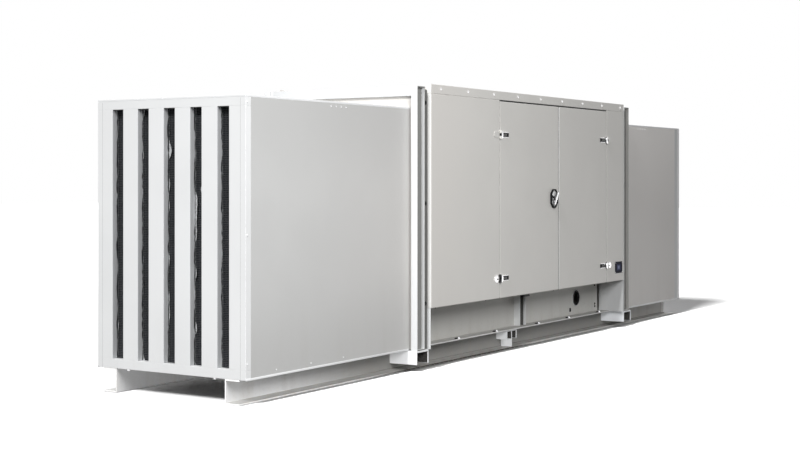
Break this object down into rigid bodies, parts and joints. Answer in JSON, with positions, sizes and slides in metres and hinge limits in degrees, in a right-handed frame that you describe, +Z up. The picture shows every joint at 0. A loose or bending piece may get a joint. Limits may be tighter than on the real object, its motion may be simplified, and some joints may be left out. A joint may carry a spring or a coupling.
{
  "type": "silent generator set",
  "caption": "Sound-proofed generator canopy on a steel skid, with slotted air hoods at both ends, hinged side doors, a turning latch handle and a cable entry in the sill.",
  "frame": {"origin": "centre of the overall box, on the ground under the skid", "axes": "+X along the skid towards the intake hood, -Y the side with the opening doors, +Z up"},
  "size_m": [8.105, 1.702, 2.375],
  "materials": {
    "light_grey_paint": "satin powder coat",
    "white_paint": "satin powder coat",
    "bird_mesh": "matt black welded wire mesh",
    "sound_lining": "matt fibre facing",
    "black_hardware": "semi-gloss black",
    "bright_hardware": "bright plated",
    "navy_plate": "satin plate",
    "black_paint": "satin",
    "engine_paint": "satin",
    "alternator_paint": "satin"
  },
  "bodies": {
    "set": {"skid_rails": "light_grey_paint", "cross_beams": "light_grey_paint", "deck_plate": "light_grey_paint", "outriggers": "white_paint", "skid_stubs": "white_paint", "sill_panel_near": "light_grey_paint", "sill_panel_far": "light_grey_paint", "sill_posts": "light_grey_paint", "door_shelves": "light_grey_paint", "end_frame_posts": "white_paint", "end_frame_rails": "white_paint", "end_wall_sides": "light_grey_paint", "end_wall_beams": "light_grey_paint", "corner_posts": "light_grey_paint", "door_jambs": "light_grey_paint", "top_beams": "light_grey_paint", "roof_panels": "light_grey_paint", "headers": "light_grey_paint", "near_panel_left": "light_grey_paint", "near_panel_right": "light_grey_paint", "far_panels": "light_grey_paint", "far_doors": "light_grey_paint", "hinge_leaves": "bright_hardware", "far_hinges": "black_hardware", "far_latch": "black_hardware", "label_plate": "navy_plate", "hood_walls": "light_grey_paint", "hood_linings": "light_grey_paint", "hood_caps": "white_paint", "hood_rails": "white_paint", "hood_slats": "white_paint", "bird_mesh": "bird_mesh", "sound_splitters": "sound_lining", "radiator": "black_paint", "fan": "black_paint", "engine_block": "engine_paint", "cylinder_heads": "engine_paint", "alternator": "alternator_paint", "engine_bearers": "black_paint"},
    "left_door": {"door_left": "light_grey_paint", "door_left_straps": "black_hardware", "latch_dish": "black_hardware"},
    "right_door": {"door_right": "light_grey_paint", "door_right_straps": "black_hardware"},
    "handle": {"latch_handle": "bright_hardware"}
  },
  "joints": [
    {"name": "left_door_hinge", "type": "hinge", "parent": "set", "child": "left_door", "pos_m": [-0.5505, -0.822, 1.3], "axis": [0, 0, -1], "range_deg": [0, 110]},
    {"name": "right_door_hinge", "type": "hinge", "parent": "set", "child": "right_door", "pos_m": [1.7655, -0.822, 1.3], "axis": [0, 0, 1], "range_deg": [0, 110]},
    {"name": "latch_turn", "type": "hinge", "parent": "left_door", "child": "handle", "pos_m": [0.5245, -0.83, 1.398], "axis": [0, -1, 0], "range_deg": [0, 90]}
  ]
}
